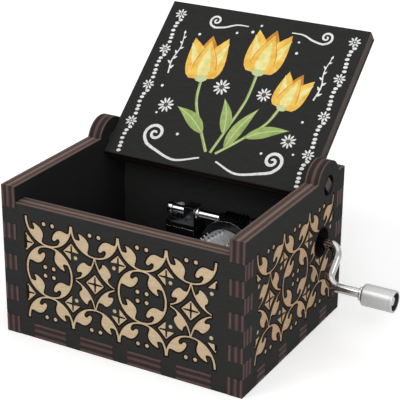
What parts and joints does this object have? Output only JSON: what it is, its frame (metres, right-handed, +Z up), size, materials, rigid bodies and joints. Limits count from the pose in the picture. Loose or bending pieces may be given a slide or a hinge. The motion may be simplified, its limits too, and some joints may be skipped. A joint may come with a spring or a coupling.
{
  "type": "hand crank music box",
  "caption": "Small finger-jointed plywood box with a pivoting lid and a hand-cranked comb and pinned-cylinder movement inside.",
  "frame": {"origin": "centre of the box's underside", "axes": "+X to the crank side, +Y to the back where the lid pivots, +Z up"},
  "size_m": [0.0862, 0.0752, 0.0653],
  "materials": {
    "plywood": "matt charcoal faces, engraved tan ornament, browned cut edges",
    "black_plastic": "moulded black plastic, semi-gloss",
    "comb_steel": "ground spring steel",
    "screw_steel": "zinc-plated steel",
    "rod_chrome": "polished chrome plate",
    "knob_nickel": "satin nickel plate",
    "drum_steel": "satin plated drum with bright pins",
    "cap_brass": "turned brass"
  },
  "bodies": {
    "box": {"front_wall": "plywood", "back_wall": "plywood", "left_wall": "plywood", "right_wall": "plywood", "bottom_plate": "plywood", "movement_frame": "black_plastic", "shaft_bracket": "black_plastic", "comb": "comb_steel", "comb_screw_1": "screw_steel", "comb_screw_2": "screw_steel", "bracket_screw_1": "screw_steel", "bracket_screw_2": "screw_steel", "base_screw_1": "screw_steel", "base_screw_2": "screw_steel", "base_screw_3": "screw_steel"},
    "lid": {"lid": "plywood"},
    "cylinder": {"pinned_drum": "drum_steel", "drum_cap_front": "cap_brass", "drum_cap_back": "cap_brass", "cylinder_arbor": "screw_steel", "drive_gear": "black_plastic", "arbor_clip": "screw_steel"},
    "crank": {"crank_rod": "rod_chrome", "crank_worm": "black_plastic", "shaft_washer": "screw_steel", "shaft_end_clip": "rod_chrome", "knob_collar": "rod_chrome", "knob_end_clip": "screw_steel"},
    "knob": {"crank_knob": "knob_nickel"}
  },
  "joints": [
    {"name": "lid_pivot", "type": "hinge", "parent": "box", "child": "lid", "pos_m": [0, 0.01655, 0.0362], "axis": [1, 0, 0], "range_deg": [0, 138.7]},
    {"name": "crank_spin", "type": "hinge", "parent": "box", "child": "crank", "pos_m": [0.032, 0.0139, 0.0225], "axis": [1, 0, 0], "continuous": true},
    {"name": "cylinder_spin", "type": "hinge", "parent": "box", "child": "cylinder", "pos_m": [0.009, 0, 0.0168], "axis": [0, 1, 0], "continuous": true},
    {"name": "knob_spin", "type": "hinge", "parent": "crank", "child": "knob", "pos_m": [0.0503, 0.00651, 0.01561], "axis": [1, 0, 0], "continuous": true}
  ],
  "couplings": [
    {"joint": "cylinder_spin", "follows": "crank_spin", "ratio": -0.045455}
  ]
}
